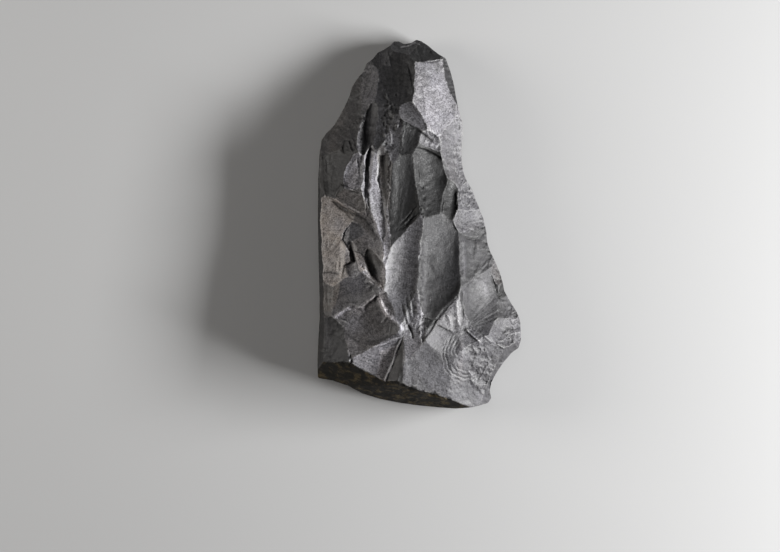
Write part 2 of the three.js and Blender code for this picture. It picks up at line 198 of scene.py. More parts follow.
underFlakes = [
    ("under tip", -2, 50, 100, 7, 5, 0.3, 0.2, 0, 0),
    ("under tip back", -14, 41, 55, 8, 5, 0.5, 0.4, 0, 0),
    ("under tip edge", 6, 39, 115, 8, 4.5, 0.4, 0.3, 0, 0, 1.1),
    ("under back 1", -22, 29, 30, 6, 4, 0.5, 0.3, 0, 0, 0.9),
    ("under back 2", -23, 17, 5, 9, 6, 0.6, 0.5, 0, 0, 1.0, dict(warm=0.4)),
    ("under back 3", -26, 5, -10, 4.5, 4, 0.4, 0.3, 0, 0, 1.0, dict(warm=0.5)),
    ("under back 4", -24, -8, 12, 8, 6.5, 0.6, 0.5, 0, 0, 0.9),
    ("under back 5", -26, -21, -5, 5, 4.5, 0.5, 0.3, 0, 0, 1.0, dict(warm=0.5)),
    ("under back 6", -23, -35, 15, 9, 7, 0.6, 0.5, 0, 0),
    ("under back 7", -25, -45, -40, 5, 4, 0.5, 0.3, 0, 0, 1.0, dict(warm=0.5)),
    ("under edge 1", 9, 27, 165, 5, 5, 0.4, 0.3, 0, 0, 1.1),
    ("under edge 2", 9.5, 14, 175, 8, 6, 0.6, 0.5, 0, 0),
    ("under edge 3", 15, 2, 155, 4.5, 4.5, 0.4, 0.3, 0, 0, 0.9),
    ("under edge 4", 16.5, -10, 165, 8, 6, 0.6, 0.5, 0, 0, 1.1),
    ("under edge 5", 22.5, -20, 150, 5, 5, 0.5, 0.3, 0, 0),
    ("under edge 6", 23, -32, 178, 9, 6.5, 0.6, 0.5, 0, 0, 0.9),
    ("under edge 7", 19, -45, 200, 6, 6, 0.5, 0.3, 0, 0),
    ("under base", -5, -51, 262, 5, 9, 0.3, 0.2, 0, -0.08, 1.0, dict(warm=0.4)),
]

bodyValues = {
    "backPower": 2,  # how the face falls away from the crest to the back and to the edge
    "edgePower": 2,
    "underPower": 3,  # how the underside rises from its core, and how far at its two rims
    "underBack": 5,
    "underEdge": 4.6,
    "heightScale": 24.5 / 24.55,  # brings the highest point to the thickness that the stone was given
    "spread": 3,  # a scar's reach, in half lengths and half widths
    "lean": 0.35,
    "slopeSpan": 1.5,
}

# Lines worked into the upper face: kind, depth, width, tint, path. The low side of a lip is on the right
# as its path is travelled: a path that climbs towards the tip gives a wall that faces the cutting edge.
# A groove sinks, a rib stands up. A tint over 0 is a painted highlight along the line, with some crushed dust
# in it, and under 0 a painted shade at its foot, with some dirt in it.
strokes = [
    # the ridge between the two long scars, with its crushed foot
    ("lip", 0.5, 1.1, 0.9,
     [(0.8, -34.5), (0.3, -28), (0.7, -22.5), (-0.3, -20.5), (0.6, -17), (0.2, -10), (1.3, -1)]),
    ("groove", 0.4, 0.35, -0.8, [(-3.6, -29.8), (-2.6, -32.4), (-1.8, -34.3)]),
    ("groove", 0.2, 0.7, -0.4, [(-1.4, -19.5), (-1.9, -25), (-2.4, -30)]),
    ("lip", 0.35, 0.8, 0.5,
     [(-9.0, -27.8), (-10.5, -25.6), (-12, -21), (-11.3, -15), (-10.7, -7), (-9.9, -5.3)]),
    ("rib", 0.25, 1.1, 1.2, [(-10.0, -6), (-10.6, -12), (-11.2, -20), (-10.2, -25.6), (-8.4, -28.4)]),
    # the crest line, and what lies left of it
    ("lip", 0.25, 0.4, 0.8,
     [(-9.2, -5.2), (-9.7, 1), (-9.7, 4.6), (-8.9, 9.7), (-9.4, 12.3), (-8.85, 17.5), (-8.6, 22)]),
    ("groove", 0.5, 0.32, -0.7, [(-14.2, 22.4), (-15.5, 18.6), (-15.8, 14.5)]),
    ("rib", 0.35, 0.3, 0.9, [(-14.7, 23.6), (-16.2, 20), (-16.9, 16.6)]),
    ("lip", 0.35, 0.45, 0.7,
     [(-16.0, 7.5), (-16.4, 11), (-17.1, 17.4), (-18.6, 24), (-18.1, 28), (-17.5, 32.4)]),
    ("rib", 0.25, 0.25, 0.8, [(-10.4, 39.6), (-9.1, 35.6), (-8.9, 31.9), (-10.3, 28.4), (-10.4, 24.3)]),
    ("rib", 0.25, 0.22, 0.8, [(-9.0, 28.6), (-8.5, 25.4), (-8.7, 22)]),
    ("groove", 0.4, 0.35, -0.7, [(-22.0, 25.2), (-22.6, 22.6), (-22.2, 20.4)]),
    ("groove", 0.4, 0.3, -0.7, [(-20.9, 24.6), (-19.5, 21.2)]),
    ("rib", 0.25, 0.3, 0.7, [(-21.4, 24.8), (-20.6, 22.2), (-19.8, 20.2)]),
    # the foot of the upper scars
    ("groove", 0.16, 0.25, -0.5, [(-6.4, -0.9), (-3.2, 2.0), (-0.3, 5.7)]),
    ("groove", 0.35, 0.5, -0.7, [(-4.6, -1.2), (-2.2, 0.8), (1.2, 3.6)]),
    ("rib", 0.15, 0.22, 0.5, [(-5.0, -0.6), (-2.6, 1.6), (-0.2, 4.6)]),
    ("lip", 0.35, 0.45, 0.6, [(1.0, 0.8), (1.5, 3.3), (0, 6), (0.5, 8), (-0.2, 10), (0.2, 12.3)]),
    ("lip", 0.6, 0.6, -0.7, [(-6.5, 31.2), (-1, 28.6), (1.6, 26.4), (4.6, 24.1)]),
    ("rib", 0.25, 1.3, 0.5, [(1.2, 25.2), (3.2, 24.4), (5.6, 22.6)]),
    ("rib", 0.12, 0.35, 0.35, [(-4.4, 27.7), (-5.2, 23.9), (-4.3, 20.8)]),
    ("lip", 0.5, 0.8, -0.6, [(-2.6, 23.0), (2.3, 21.8), (6.1, 19.9), (8, 17.3), (9.4, 12.4)]),
    ("lip", 0.2, 0.5, 0.4, [(-0.8, 33.2), (-1.8, 35.5), (-2.4, 38.8), (-2.9, 43), (-4, 48.6)]),
    ("groove", 0.2, 0.3, -0.5, [(-2.6, 48.9), (1.5, 48.3), (6.2, 49.0)]),
    ("rib", 0.25, 0.3, 3.0, [(-6.1, 52.9), (-3.5, 53.5), (-1.3, 54.4), (0.9, 53.5)]),
    # the leaf and the shell at the cutting edge
    ("lip", 0.3, 0.4, 0.8, [(6.1, 2.4), (6.9, 7.8), (8.4, 11.9)]),
    ("rib", 0.2, 0.25, 0.7, [(11.0, 9.4), (11.1, 7.2), (10.8, 5.2)]),
    ("groove", 0.25, 0.3, -0.5, [(10.0, 11.6), (11.7, 9.4), (11.6, 5.6)]),
    ("lip", 0.4, 0.5, -0.5, [(9.6, 0.6), (11.2, -1.9), (13.4, -3.7), (16.6, -4.2), (19.6, -2.6)]),
    ("lip", 0.3, 0.6, 0.35, [(2.4, -32), (5.7, -26.8), (13.1, -19.5), (21.0, -10.9)]),
    ("groove", 0.12, 1.2, -0.3, [(2.0, -30), (5.0, -25.2), (12.0, -18.2), (19.5, -10.4)]),
    ("rib", 0.2, 0.6, 0.45, [(12.7, -2.8), (12.9, -10), (13.4, -18)]),
    ("groove", 0.12, 0.5, -0.3, [(14.2, -3.4), (14.3, -12), (14.9, -16.6)]),
    ("rib", 0.12, 0.35, 0.35, [(15.3, -4), (15.5, -9), (16.0, -14)]),
    # the plates and folds below it
    ("groove", 0.3, 0.35, -0.6, [(12.4, -19.8), (12.5, -24), (12.8, -28.5)]),
    ("rib", 0.25, 0.5, 0.5, [(10.9, -22.4), (11.1, -26), (11.6, -30.8)]),
    ("rib", 0.2, 0.45, 0.4, [(7.6, -26.6), (8.6, -28.2), (9.4, -30.6)]),
    ("lip", 0.3, 0.4, -0.5, [(4.8, -29.9), (7.4, -31.2), (10.2, -32.5)]),
    ("rib", 0.35, 0.35, 0.9, [(13.4, -31.2), (15.8, -33.4), (18.5, -36.0)]),
    ("rib", 0.25, 0.3, 0.5, [(18.6, -33.4), (20.2, -34.4), (21.6, -35.6)]),
    ("rib", 0.15, 0.8, 0.3, [(12.6, -34.8), (12.9, -38), (13.4, -41.4)]),
    ("rib", 0.1, 1.00, 0.4, [(19.2, -16.4), (19.9, -19), (20.4, -22)]),
    ("groove", 0.3, 0.4, -0.6, [(21.4, -15.6), (23.0, -20.4), (24.0, -22.4), (26.4, -23.2)]),
    ("groove", 0.25, 0.3, -0.6, [(25.2, -31.0), (27.6, -31.8), (30.2, -31.2)]),
    ("rib", 0.15, 0.3, 0.6, [(14.2, -43.6), (15.6, -45.4), (17.4, -46.8)]),
    # the low fan, its ridges, and the step above it
    ("rib", 0.38, 0.32, 2.4, [(-10.7, -47.9), (-9.5, -44.6), (-7.9, -40.8), (-6.9, -37.6), (-5.0, -33.6)]),
    ("groove", 0.2, 0.8, -0.5, [(-4.9, -34), (-5.5, -41), (-6.0, -48)]),
    ("rib", 0.45, 0.7, 2.0,
     [(-12.5, -21.2), (-11.2, -24.7), (-9.9, -26.8), (-8.6, -28.1), (-6.5, -29.8), (-4.8, -32.4)]),
    ("rib", 0.2, 0.35, 0.6, [(-9.8, -27.2), (-10.6, -28.8), (-11.6, -29.6)]),
    ("groove", 0.15, 0.7, -0.5, [(-6.4, -32.6), (-12, -34.8), (-16.6, -35.2)]),
    ("rib", 0.25, 0.3, 0.6, [(-5.2, -33.5), (-9, -34.9), (-12.5, -36.2), (-16.4, -36.7)]),
    ("groove", 0.15, 0.5, -0.5, [(-28.3, -27.2), (-24.9, -29), (-22.3, -32.4), (-17.4, -36)]),
    ("groove", 0.5, 0.4, -0.8, [(-20.5, -38.8), (-20.3, -41.6)]),
    ("rib", 0.25, 0.3, 0.8, [(-21.6, -37.0), (-21.2, -39.4), (-20.8, -42.4)]),
    # the left plate and the tan face above it
    ("rib", 0.25, 0.65, 0.8, [(-25.5, -29.4), (-24.9, -27.9), (-22.6, -26.3), (-20.3, -24.9)]),
    ("lip", 0.75, 0.9, 2.4,
     [(-25, -29), (-24.8, -27.4), (-20.0, -24.4), (-18.1, -25.2), (-14.7, -23), (-12.6, -20.4)]),
    ("lip", 0.3, 0.35, -0.5, [(-23.8, -15.4), (-27, -15.0), (-29.6, -15.3)]),
    ("lip", 0.3, 0.35, 0.6, [(-29.6, -17.2), (-27, -17.0), (-23.8, -17.2)]),
    ("groove", 0.7, 0.5, -0.9, [(-20.6, -5.4), (-20.2, -8.4), (-19.3, -12.0)]),
    ("lip", 0.45, 0.8, 0.4, [(-14.2, -17.0), (-17.1, -14), (-19.2, -9.0)]),
    # the crescent below the ledge
    ("groove", 0.22, 0.6, -0.35, [(-25.4, 7.0), (-20.9, 3.4), (-15.4, 0.4), (-13.0, -4.4)]),
    ("rib", 0.3, 0.4, 1.0, [(-23.6, 10.9), (-25.1, 7.6), (-21.4, 4.8), (-17.4, 3.0)]),
    ("groove", 0.2, 0.4, -0.5, [(-23.6, 11.7), (-20.6, 9.6), (-17.2, 8.8)]),
]
# hackles that run down from the tip's bright scar
strokes += [
    ("rib", 0.1, 0.2, 0.3, [(1.9 + 0.8 * k, 29.8 - 0.5 * k), (2.4 + 0.9 * k, 26.3 - 0.3 * k)])
    for k in range(6)
]
# hackles at the foot of the long left scar, and the fine folds below the upper ones
strokes += [
    ("groove", 0.14, 0.3, -0.45, [(-5.4 + 1.3 * k, -23.4 + 1.6 * k), (-3.9 + 0.9 * k, -30.6 + 1.9 * k)])
    for k in range(3)
]
strokes += [
    ("rib", 0.12, 0.26, 0.4, [(-4.6 + 1.6 * k, -24.0 + 2.2 * k), (-3.3 + 1.1 * k, -30.0 + 1.4 * k)])
    for k in range(2)
]
strokes += [
    ("groove", 0.18, 0.24, -0.6,
     [(-7.6 + 0.9 * k, -2.6 + 0.1 * k), (-4.6 + 0.9 * k, 0.2), (-1.4 + 0.8 * k, 4.4 - 0.5 * k)])
    for k in range(3)
]

# Small flat facets: corners, rise at the middle, tilt east, tilt north, tint, warmth. The tint is painted
# light and shade that makes a facet paler or darker as it would be lit
facets = [
    # the triangle below the trough, and its shaded side
    ([(-18.8, 19.0), (-22.8, 13.0), (-20.1, 9.5), (-17.9, 14.2)], 0.15, 0.1, 0.0, 1.5, 0),
    ([(-18.8, 19.0), (-17.9, 14.2), (-20.1, 9.5), (-17.0, 9.2), (-17.3, 14.0)], 0.05, -0.25, 0.0, 0.1, 0),
    # the ledge, and the crescent below it, darkened with painted shade
    ([(-25.3, 8.0), (-23.5, 11.3), (-16.8, 8.8), (-15.5, 1.6), (-20.9, 4.2)], 0.35, 0.05, 0.1, 0.25, 0),
    ([(-25.4, 6.6), (-20.6, 3.3), (-16.0, 1.2), (-14.3, -1.9), (-12.7, -4.5), (-13.6, -5.6), (-15.4, -2.9),
      (-17.6, -0.6), (-20.7, 1.4), (-26.2, 6.4)], -0.1, 0.0, -0.05, -0.45, 0.2),
    # the bright band left of the crest, and the hollow sliver between them
    ([(-14.4, 21.5), (-15.1, 15), (-15.2, 9), (-14.8, 4), (-13.3, -1.5), (-10.9, -5.7), (-9.9, -3),
      (-10.0, 1),
      (-11.2, 6.3), (-12.6, 12.7), (-12.0, 20)], 0.05, -0.24, 0.0, 0.7, 0),
    ([(-12.0, 20), (-12.6, 12.7), (-11.2, 6.3), (-10.0, 1.8), (-9.8, 5), (-9.5, 12.3), (-9.0, 20)],
     -0.1, 0.3, 0.0, -0.2, 0.2),
    # the grey hollow under the arch, its brown end, and the pale rough strip that crosses it
    ([(-20.2, 0.2), (-22.4, -2.2), (-23.2, -5.0), (-21.4, -7.3), (-20.2, -5.4), (-16.6, -3.7),
      (-17.2, -0.7)],
     -0.35, 0.1, 0.0, -0.4, -0.8),
    ([(-15.5, -6.2), (-14.2, -9.8), (-12.4, -17.0), (-13.7, -17.0), (-15.2, -14.0), (-15.8, -9.8)],
     -0.1, 0.0, 0.0, -0.35, 0.3),
    ([(-19.4, -8.6), (-17.6, -9.2), (-16.0, -11.0), (-15.2, -14.6), (-13.1, -18.4), (-14.9, -17.6),
      (-18.2, -13.6)],
     0.25, -0.15, 0.0, 0.55, 0.2),
    # the pale spall and the face beside it
    ([(-23.5, -5.6), (-22.2, -7.0), (-20.9, -8.6), (-20.5, -11.5), (-22.6, -12.8), (-23.4, -16.8),
      (-23.8, -12.0)],
     0.45, 0.35, 0.0, 4.0, 0.0),
    ([(-23.8, -9.6), (-25.1, -12.1), (-24.8, -15.2), (-23.8, -14.4)], 0.05, 0.25, 0.0, 0.4, 0.1),
    # the pointed foot of the long right scar
    ([(0.3, -28.0), (5.2, -28.6), (3.4, -31.6), (0.7, -35.4), (0.3, -32.0)], -0.4, 0.05, 0.0, -0.45, 0),
    # the dark strip past the low fan's ridge
    ([(-4.9, -33.6), (-5.3, -48.6), (-10.2, -47.9), (-9.0, -44.4),
      (-6.4, -37.8)], -0.1, 0.0, 0.0, -0.82, 0.5),
    # the fan's side of that ridge
    ([(-11.6, -38.0), (-8.0, -36.2), (-6.5, -36.4), (-8.3, -40.5), (-10.6, -47.6), (-12.8, -46.8)],
     0.0, 0.0, 0.0, 1.4, 0.2),
    # the left plate's brown end
    ([(-29.4, -17.6), (-23.6, -17.6), (-24.2, -22), (-26, -26.4), (-29.4, -26)], 0.0, 0.05, 0.0, 0.15, 0.5),
    # the flat below the fan's step, and the tip's bright scar: its dull top and left, its pale middle
    ([(1.4, -33), (4.8, -30.1), (7.4, -31.4), (10.2, -32.8), (12.4, -35), (11, -40), (6, -42), (0, -40)],
     0.0, 0.0, 0.0, -0.25, 0),
    ([(-4.2, 48.6), (6.2, 49), (6.6, 45.4), (2, 44.6), (-1.0, 42.8), (-0.4, 34.6), (-1.8, 35.2),
      (-2.9, 43)],
     0.0, 0.0, 0.0, -0.22, 0),
    ([(1, 40.5), (7.4, 42.2), (10, 36), (10.4, 30), (4.4, 26.4), (1.8, 29)], 0.0, -0.03, 0.0, 0.15, 0),
    # pale faces on the tip
    ([(-12.3, 51.2), (-9.4, 51.9), (-8.7, 47.0), (-11.2, 47.2)], 0.1, 0.1, 0.0, 0.6, 0),
    ([(-14.9, 48.3), (-12.6, 46.4), (-12.2, 43.4), (-13, 38.2), (-14.9, 34), (-18.6, 33.3), (-18.2, 40),
      (-16.5, 44.5)],
     0.1, 0.05, 0.0, 0.55, 0.1),
]

# Places where the stone was crushed: x, y, reach across, reach along, turn, height, size of the crumbs
crushed = [
    (18.3, -43, 4.2, 9.0, 0, 0.5, 1.2),
    (26.2, -34.5, 5.4, 3.8, 0, 0.55, 1.2),
    (23.4, -16, 1.9, 5.5, 28, 0.22, 0.8),
    (14.3, 7.5, 2.8, 5, 10, 0.42, 1.0),
    (-20, 25.5, 2.6, 6, -8, 0.3, 1.0),
    (-9.5, 28.5, 1.7, 8, -6, 0.25, 0.9),
    (-2, -27, 1.7, 7, -4, 0.2, 0.9),
    (-17, -13.5, 1.6, 5, 32, 0.25, 0.8),
    (-21, -40.6, 1.0, 1.6, 0, 0.5, 0.8),
    (16, -31.5, 3, 3, 0, 0.18, 1.2),
    (4.5, 30.5, 2.2, 2.5, 0, 0.1, 0.8),
    (-9.2, -27.6, 1.5, 3.2, 30, 0.3, 0.8),
    (-14.6, -18.6, 1.4, 2.4, 30, 0.3, 0.7),
    (9.5, 26, 2.0, 3.0, 10, 0.16, 0.9),
    (-21.2, 23.2, 1.9, 2.8, 0, 0.45, 1.1),
    (22.9, -15.8, 1.4, 4.5, 22, 0.3, 1.0),
    (28.0, -29.5, 2.8, 5.0, 0, 0.55, 1.2),
    (11.4, 20, 1.5, 6.0, 4, 0.24, 1.0),
]

# The nested arcs of the rippled scar: their middle, and how they are drawn out, bent, spaced and cut
arcValues = {
    "x": 14.2,
    "y": -38.4,
    "stretch": 1.22,
    "bend": 0.9,
    "spacing": 0.95,
    "depth": 0.17,
    "innerRim": (2.4, 3.6),  # where they begin to show, and where they show in full
    "outerRim": (8.2, 6.6),
    "sweepFrom": (120, 150),  # degrees from the east
    "sweepTo": (318, 280),
}

# Broad swells and hollows, made paler or darker with painted light and shade, and warmed with patina:
# x, y, reach across, reach along, turn, height, tint, warmth
patches = [
    (4.2, -26.5, 2.6, 6.0, -22, -0.15, -0.45, 0.1),
    (3.2, -9.5, 2.0, 6.0, -8, 0.12, 0.25, 0),
    (10.7, -8.5, 1.3, 7.0, -4, -0.2, -0.4, 0),
    (13.5, -10, 0.8, 6.0, -4, 0.18, 0.4, 0),
    (17.4, -8.5, 0.9, 3.5, 6, 0.18, 0.5, 0),
    (18.9, -19.8, 1.7, 3.6, 6, 0.4, 0.8, 0),
    (14.9, -26.6, 1.9, 3.6, 0, -0.25, -0.35, 0),
    (23.2, -25.6, 1.5, 2.6, 0, -0.2, -0.35, 0.1),
    (27.8, -27.6, 1.5, 2.0, 20, 0.2, 0.7, 0),
    (22.8, -15.6, 0.9, 3.2, 22, 0.12, 0.3, 0.25),
    (29.0, -32.6, 1.4, 2.2, 0, 0.15, 0.35, 0),
    (12.0, -41.2, 0.7, 5.0, 0, 0.06, 0.3, 0.3),
    (-19.0, -16.4, 3.6, 4.2, 0, 0.3, 0.35, -0.5),
    (-18.4, -28.0, 3.4, 2.6, 20, 0.15, 0.25, 0),
    (-9.6, -9.5, 1.4, 9.0, 4, 0.1, 0.3, 0),
    (-3.6, -25.6, 1.8, 6.0, -14, -0.15, -0.5, 0),
    (-25.2, -1.5, 2.4, 4.0, 0, 0.15, 0.18, 0.2),
    (-27.0, -33.2, 0.9, 4.4, 0, 0.15, 1.4, 0),
    (-21.0, 23.0, 1.8, 2.8, 0, -0.35, -0.45, 0),
    (-26.2, 23.4, 1.8, 3.0, 0, 0.25, 0.6, 0.4),
    (-23.5, 31.5, 1.5, 5.0, -34, 0.2, 0.5, 0.2),
    (5.6, 38.0, 2.8, 6.5, 5, 0.2, 0.12, 0),
    (-0.8, 15.8, 1.6, 4.0, 0, 0.08, 0.6, 0),
    (-7.2, 4.0, 1.6, 5.0, 0, 0.0, -0.25, 0.2),
]

# Runs of small chips along ridges and edges: path, how many, how far they stray, radius from, to, depth
chipRuns = [
    ([(-8, 37), (-9, 30), (-9.6, 20)], 40, 1.1, 0.5, 1.3, 0.25),
    ([(0.5, -33), (0.5, -20), (0.4, -2)], 26, 0.4, 0.4, 0.9, 0.16),
    ([(1, 0), (0.8, 6), (0.2, 12)], 12, 0.5, 0.4, 0.8, 0.16),
    ([(-18.5, 32), (-18.2, 22), (-16.4, 9)], 30, 1.0, 0.4, 1.0, 0.2),
    ([(25, -19), (21, -9), (19.5, 1), (13, 14), (12.6, 27), (10.5, 41), (8, 49)], 90, 0.7, 0.35, 1.1, 0.2),
    ([(30, -29), (30, -36), (23, -45), (21, -53)], 30, 0.7, 0.5, 1.4, 0.22),
    ([(-17, 46), (-21, 38), (-28, 27)], 24, 0.6, 0.5, 1.2, 0.16),
    ([(7, 50), (0, 54.6), (-8, 54)], 18, 0.6, 0.5, 1.1, 0.18),
    ([(-29, -38), (-18, -43.8), (-5, -48.4), (12, -53)], 30, 0.5, 0.4, 0.9, 0.1),
    ([(-12, -22), (-11, -12), (-9.6, -3), (-9, 12), (-8.7, 22)], 24, 0.4, 0.4, 0.8, 0.12),
]


def smoothStep(low, high, value):
    t = np.clip((value - low) / (high - low), 0, 1)
    return t * t * (3 - 2 * t)


def latticeNoise(px, py, pz, seed):
    # smooth noise from -1 to 1 on a hashed lattice of unit cells
    cells = [np.floor(p).astype(np.int64) for p in (px, py, pz)]
    parts = [p - c for p, c in zip((px, py, pz), cells)]
    ease = [t * t * t * (t * (t * 6 - 15) + 10) for t in parts]
    total = np.zeros(np.shape(px))
    for corner in itertools.product((0, 1), repeat=3):
        hashed = seed * 668265263
        weight = 1.0
        for cell, t, step, prime in zip(cells, ease, corner, (73856093, 19349663, 83492791)):
            hashed = hashed ^ ((cell + step) * prime)
            weight = weight * (t if step else 1 - t)
        hashed = (hashed ^ (hashed >> 13)) * 1274126177
        hashed = hashed ^ (hashed >> 16)
        total += weight * ((hashed & 65535) / 32767.5 - 1)
    return total


def fractal(x, y, z, size, octaves, seed):
    total, strength, reach = 0, 1.0, 0
    for octave in range(octaves):
        total = total + strength * latticeNoise(x / size, y / size, z / size, seed + octave)
        reach += strength
        strength *= 0.55
        size *= 0.47
    return total / reach


def strayed(x, y, amount, size, seedPair, level=0.0):
    # the same places moved about, so that what is drawn at them gets a broken outline
    z = np.full(x.shape, level)
    moves = [amount * fractal(x, y, z, size, 3, seed) for seed in seedPair]
    return x + moves[0], y + moves[1]


def nearTo(points, margin, x, y):
    # which places lie in the box round a few points, widened by a margin
    low, high = points.min(0) - margin, points.max(0) + margin
    return (x > low[0]) & (x < high[0]) & (y > low[1]) & (y < high[1])


def sectionAt(y):
    return [np.interp(y, sections[:, 0], sections[:, k]) for k in range(1, 8)]


def faceHeight(x, y):
    backX, backZ, crestX, crestZ, edgeX, edgeZ, _ = sectionAt(y)
    toBack = np.abs((crestX - x) / (crestX - backX)) ** bodyValues["backPower"]
    toEdge = np.abs((x - crestX) / (edgeX - crestX)) ** bodyValues["edgePower"]
    return crestZ - np.where(x < crestX, (crestZ - backZ) * toBack, (crestZ - edgeZ) * toEdge)


def underHeight(x, y):
    backX, _, _, _, edgeX, _, coreZ = sectionAt(y)
    middle = (backX + edgeX) / 2
    share = np.abs(x - middle) / ((edgeX - backX) / 2)
    rise = np.where(x < middle, bodyValues["underBack"], bodyValues["underEdge"])
    return coreZ + rise * share ** bodyValues["underPower"]


def scarOf(
    body, side, _, x, y, heading, halfLength, halfWidth, dish, drop, east, north, tone=1.0, special={}
):
    # a scar's plane follows the rough body where it lies, or is given outright where there is no body
    given = special.get
    east = east + given("turnEast", 0)
    dish, height = dish + given("deep", 0), drop + given("deep", 0)
    if body:
        span = bodyValues["slopeSpan"]
        height = float(body(x, y)) - side * height
        east = float(body(x + span, y) - body(x - span, y)) / (2 * span) + east
        north = float(body(x, y + span) - body(x, y - span)) / (2 * span) + north
    turn = math.radians(heading)
    reach = halfLength * bodyValues["spread"]
    return SimpleNamespace(
        x=x, y=y, cos=math.cos(turn), sin=math.sin(turn), side=side,
        halfLength=halfLength, halfWidth=halfWidth, height=height, east=east, north=north, dish=dish,
        steep=math.sqrt(1 + east**2 + north**2), tone=tone, warm=given("warm", stoneValues["warm"]),
        ahead=given("ahead", reach), behind=given("behind", reach), across=halfWidth * bodyValues["spread"],
        lean=given("lean", bodyValues["lean"]), struck=given("struck", -halfLength * 1.3),
        calm=given("calm", 1.0), ripple=given("ripple", stoneValues["ripple"]), cortex=given("cortex", 0),
    )


def scarHeight(scar, x, y):
    # height of a scar's bare surface, with its sign turned for the underside so that the lowest one shows
    dx, dy = x - scar.x, y - scar.y
    u = dx * scar.cos + dy * scar.sin
    v = dy * scar.cos - dx * scar.sin
    uIn = np.clip(u, -scar.behind, scar.ahead)
    vIn = np.clip(v, -scar.across, scar.across)
    dxIn = uIn * scar.cos - vIn * scar.sin
    dyIn = uIn * scar.sin + vIn * scar.cos
    plane = scar.height + scar.east * dxIn + scar.north * dyIn
    rim = scar.dish * ((uIn / scar.halfLength) ** 2 + (vIn / scar.halfWidth) ** 2)
    wall = np.maximum(np.abs(u - uIn), np.abs(v - vIn)) / scar.lean
    return scar.side * plane + rim + wall, u, v


def scarRelief(scar, x, y, u, v, seed):
    # the low relief of one scar: swells, ripples round the point of the blow, hackles that run out from it
    z = np.full(x.shape, seed * 3.7)
    swell = fractal(x, y, z, 6.5, 3, seed) * stoneValues["swell"]
    away = np.hypot(u - scar.struck, v) + 1e-6
    turn = np.arctan2(v, u - scar.struck)
    bend = fractal(x, y, z, 5.0, 2, seed + 40) * 1.1
    ripple = np.sin(2 * math.pi * (away + bend) / stoneValues["rippleSpacing"]) * scar.ripple
    ripple = ripple * (0.5 + 0.5 * fractal(x, y, z, 7.0, 2, seed + 60))
    hackle = latticeNoise(turn * 16, away * 0.10, z, seed + 80) * stoneValues["hackle"]
    hackle = hackle + latticeNoise(turn * 42, away * 0.16, z, seed + 81) * stoneValues["hackle"] / 2
    lines = (ripple + hackle) * smoothStep(0, scar.halfLength, away)
    return (swell + lines) * scar.calm * scar.steep


def lowestScars(scars, x, y, relief=True):
    # the height of the scar that shows at each place, how far the next one lies above it, and its number
    if relief:
        wander, size = stoneValues["borderWander"], stoneValues["wanderSize"]
        zero = np.zeros(x.shape)
        x = x + wander * fractal(x, y, zero, size, 3, seeds["wander"])
        y = y + wander * fractal(x, y, zero + 9, size, 3, seeds["wander"] + 1)
    bare = np.full(x.shape, 1e9)
    for scar in scars:
        bare = np.minimum(bare, scarHeight(scar, x, y)[0])
    lowest, second = np.full(x.shape, 1e9), np.full(x.shape, 1e9)
    shown = np.zeros(x.shape, int)
    for number, scar in enumerate(scars):
        height, u, v = scarHeight(scar, x, y)
        near = height < bare + 1.6  # relief can't bring a scar that lies higher to the surface
        if not near.any():
            continue
        h = height[near]
        if relief:
            h = h + scarRelief(scar, x[near], y[near], u[near], v[near], seeds["scar"] + 100 * number)
        low = lowest[near]
        wins = h < low
        second[near] = np.where(wins, low, np.minimum(second[near], h))
        shown[near] = np.where(wins, number, shown[near])
        lowest[near] = np.where(wins, h, low)
    return lowest, np.minimum(second - lowest, 5.0), shown


def smoothPath(points, steps=6):
    # a curve through given points
    p = np.array([points[0], *points, points[-1]], float)
    out = []
    for i in range(1, len(p) - 2):
        for k in range(steps):
            t = k / steps
            out.append(0.5 * (
                2 * p[i] + (p[i + 1] - p[i - 1]) * t
                + (2 * p[i - 1] - 5 * p[i] + 4 * p[i + 1] - p[i + 2]) * t * t
                + (3 * p[i] - p[i - 1] - 3 * p[i + 1] + p[i + 2]) * t**3
            ))
    out.append(p[-1])
    return np.array(out)


def alongPath(path, x, y):
    # signed distance from a path, to the right of its travel, and the share of its length passed
    lengths = np.hypot(*(path[1:] - path[:-1]).T)
    starts = np.concatenate([[0], np.cumsum(lengths)])
    best, side, share = np.full(x.shape, 1e9), np.zeros(x.shape), np.zeros(x.shape)
    for a, b, length, start in zip(path[:-1], path[1:], lengths, starts):
        d = (b - a) / length
        rx, ry = x - a[0], y - a[1]
        t = np.clip(rx * d[0] + ry * d[1], 0, length)
        away = np.hypot(rx - t * d[0], ry - t * d[1])
        near = away < best
        best = np.where(near, away, best)
        side = np.where(near, np.sign(rx * d[1] - ry * d[0]), side)
        share = np.where(near, (start + t) / starts[-1], share)
    return best * side, share


def strokesNear(x, y, widths):
    # for each stroke, the places within so many widths of it, how far across it they lie and how it fades
    fade = stoneValues["strokeFade"]
    for number, (kind, depth, width, dustDirtAndPaintedLight, points) in enumerate(strokes):
        path = smoothPath(points)
        near = nearTo(path, widths * width, x, y)
        if not near.any():
            continue
        px, py = x[near], y[near]
        across, share = alongPath(path, px, py)
        stray = fractal(px, py, np.zeros(px.shape), 1.7, 3, seeds["strokeLine"] + number)
        across = across + stoneValues["strokeWander"] * stray
        ends = smoothStep(0, fade, share) * smoothStep(0, fade, 1 - share)
        yield number, kind, depth, width, dustDirtAndPaintedLight, near, across, ends


def strokeRelief(x, y):
    total = np.zeros(x.shape)
    for number, kind, depth, width, _, near, across, ends in strokesNear(x, y, 6):
        px, py = x[near], y[near]
        uneven = fractal(px, py, np.zeros(px.shape), 3.0, 2, seeds["strokeDepth"] + number)
        t = across / width
        if kind == "lip":
            foot = -t * np.exp(1 - np.clip(t, 0, 20))
            shape = np.where(t > 0, foot, 0.12 * np.exp(-np.abs(t) * 1.5) * -t)
        else:
            shape = np.exp(-np.minimum(t * t, 30)) * (1 if kind == "rib" else -1)
        total[near] += depth * (1 + 0.5 * uneven) * ends * shape
    return total


